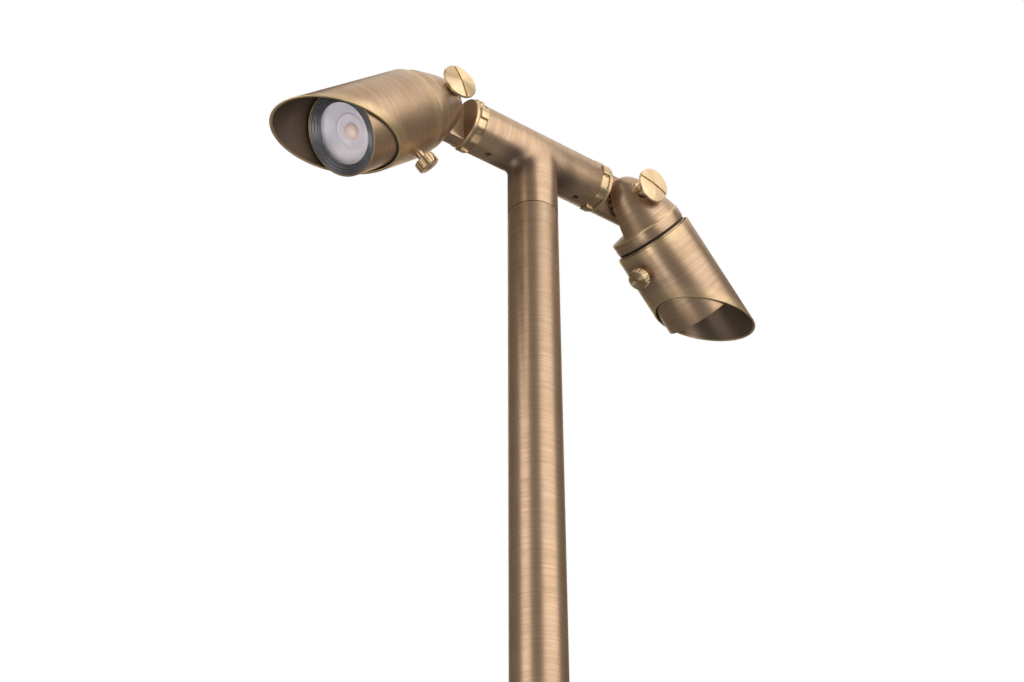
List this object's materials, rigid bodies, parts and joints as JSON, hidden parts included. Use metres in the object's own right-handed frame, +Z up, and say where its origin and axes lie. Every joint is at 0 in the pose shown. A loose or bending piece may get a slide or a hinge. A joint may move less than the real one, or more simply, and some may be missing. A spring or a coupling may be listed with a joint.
{
  "type": "path light",
  "caption": "Path light with swivelling, tilting lamp heads under sliding glare guards, on a tee at the top of a tubular stem with a ground spike.",
  "frame": {"origin": "on the stem's axis at ground level, in the plane of the spike flange's underside", "axes": "+Z up along the stem, X along the cross tube with the right head at +X, -Y towards the heads of the tilt screws"},
  "size_m": [0.3045, 0.062, 0.6756],
  "materials": {
    "aged_brass": "antique brown brass with a fine turned grain, satin",
    "bright_brass": "raw brass, machined",
    "screw_steel": "dull steel",
    "spike_plastic": "black moulded plastic, fine grain",
    "rubber": "black rubber, slightly glossy",
    "glass": "clear glass",
    "lamp_white": "white gloss reflector",
    "led_phosphor": "pale orange phosphor",
    "lamp_shell": "satin aluminium",
    "pin_metal": "plated pins",
    "ceramic": "glazed ceramic"
  },
  "bodies": {
    "post": {"stem_tube": "aged_brass", "tee_fitting": "aged_brass", "tee_set_screws": "screw_steel", "stem_nipple": "bright_brass", "stem_foot": "aged_brass", "ground_spike": "spike_plastic", "cable_grommet": "rubber"},
    "left_knuckle": {"left_knuckle": "aged_brass", "left_knuckle_seal": "rubber"},
    "left_lock_ring": {"left_lock_ring": "bright_brass"},
    "left_tilt_screw": {"left_tilt_screw": "bright_brass"},
    "left_cap": {"left_back_cap": "aged_brass", "left_tilt_washer": "bright_brass", "left_cap_seal": "rubber", "left_lamp_optic": "lamp_white", "left_led_chip": "led_phosphor", "left_lamp_shell": "lamp_shell", "left_lamp_pins": "pin_metal", "left_lamp_socket": "ceramic"},
    "left_barrel": {"left_barrel": "aged_brass", "left_guide_rings": "rubber", "left_lens_gasket": "rubber", "left_lens": "glass"},
    "left_guard": {"left_glare_guard": "aged_brass"},
    "left_guard_screw": {"left_guard_screw": "bright_brass"},
    "right_knuckle": {"right_knuckle": "aged_brass", "right_knuckle_seal": "rubber"},
    "right_lock_ring": {"right_lock_ring": "bright_brass"},
    "right_tilt_screw": {"right_tilt_screw": "bright_brass"},
    "right_cap": {"right_back_cap": "aged_brass", "right_tilt_washer": "bright_brass", "right_cap_seal": "rubber", "right_lamp_optic": "lamp_white", "right_led_chip": "led_phosphor", "right_lamp_shell": "lamp_shell", "right_lamp_pins": "pin_metal", "right_lamp_socket": "ceramic"},
    "right_barrel": {"right_barrel": "aged_brass", "right_guide_rings": "rubber", "right_lens_gasket": "rubber", "right_lens": "glass"},
    "right_guard": {"right_glare_guard": "aged_brass"},
    "right_guard_screw": {"right_guard_screw": "bright_brass"}
  },
  "joints": [
    {"name": "left_swivel", "type": "hinge", "parent": "post", "child": "left_knuckle", "pos_m": [-0.045, 0, 0.457], "axis": [-1, 0, 0], "range_deg": [-173.1, 166.9]},
    {"name": "left_lock_ring_turn", "type": "hinge", "parent": "post", "child": "left_lock_ring", "pos_m": [-0.0396, 0, 0.457], "axis": [-1, 0, 0], "range_deg": [-30, 60]},
    {"name": "left_tilt", "type": "hinge", "parent": "left_knuckle", "child": "left_cap", "pos_m": [-0.062, 0, 0.457], "axis": [0, -0.9985, 0.0541], "range_deg": [-122.2, 37.8]},
    {"name": "left_tilt_screw_turn", "type": "hinge", "parent": "left_knuckle", "child": "left_tilt_screw", "pos_m": [-0.062, -0.01997, 0.45808], "axis": [0, -0.9985, 0.0541], "range_deg": [-70, 650]},
    {"name": "left_barrel_turn", "type": "hinge", "parent": "left_cap", "child": "left_barrel", "pos_m": [-0.09904, -0.00501, 0.42364], "axis": [-0.7408, -0.0363, -0.6707], "range_deg": [-180, 180]},
    {"name": "left_guard_slide", "type": "slide", "parent": "left_barrel", "child": "left_guard", "axis": [-0.7408, -0.0363, -0.6707], "range_m": [-0.0012, 0.015]},
    {"name": "left_guard_screw_turn", "type": "hinge", "parent": "left_guard", "child": "left_guard_screw", "pos_m": [-0.07194, -0.00776, 0.41473], "axis": [0.669, -0.1304, -0.7318], "range_deg": [-360, 720]},
    {"name": "right_swivel", "type": "hinge", "parent": "post", "child": "right_knuckle", "pos_m": [0.045, 0, 0.457], "axis": [1, 0, 0], "range_deg": [-179, 161]},
    {"name": "right_lock_ring_turn", "type": "hinge", "parent": "post", "child": "right_lock_ring", "pos_m": [0.0396, 0, 0.457], "axis": [1, 0, 0], "range_deg": [-30, 60]},
    {"name": "right_tilt", "type": "hinge", "parent": "right_knuckle", "child": "right_cap", "pos_m": [0.062, 0, 0.457], "axis": [0, 0.9877, 0.1564], "range_deg": [-119.8, 40.2]},
    {"name": "right_tilt_screw_turn", "type": "hinge", "parent": "right_knuckle", "child": "right_tilt_screw", "pos_m": [0.062, -0.01975, 0.45387], "axis": [0, -0.9877, -0.1564], "range_deg": [-467, 253]},
    {"name": "right_barrel_turn", "type": "hinge", "parent": "right_cap", "child": "right_barrel", "pos_m": [0.10041, 0.00185, 0.42489], "axis": [0.7683, 0.1001, -0.6322], "range_deg": [-180, 180]},
    {"name": "right_guard_slide", "type": "slide", "parent": "right_barrel", "child": "right_guard", "axis": [0.7683, 0.1001, -0.6322], "range_m": [-0.0018, 0.0144]},
    {"name": "right_guard_screw_turn", "type": "hinge", "parent": "right_guard", "child": "right_guard_screw", "pos_m": [0.07414, 0.00208, 0.4142], "axis": [-0.639, 0.0631, -0.7666], "range_deg": [-360, 720]}
  ]
}
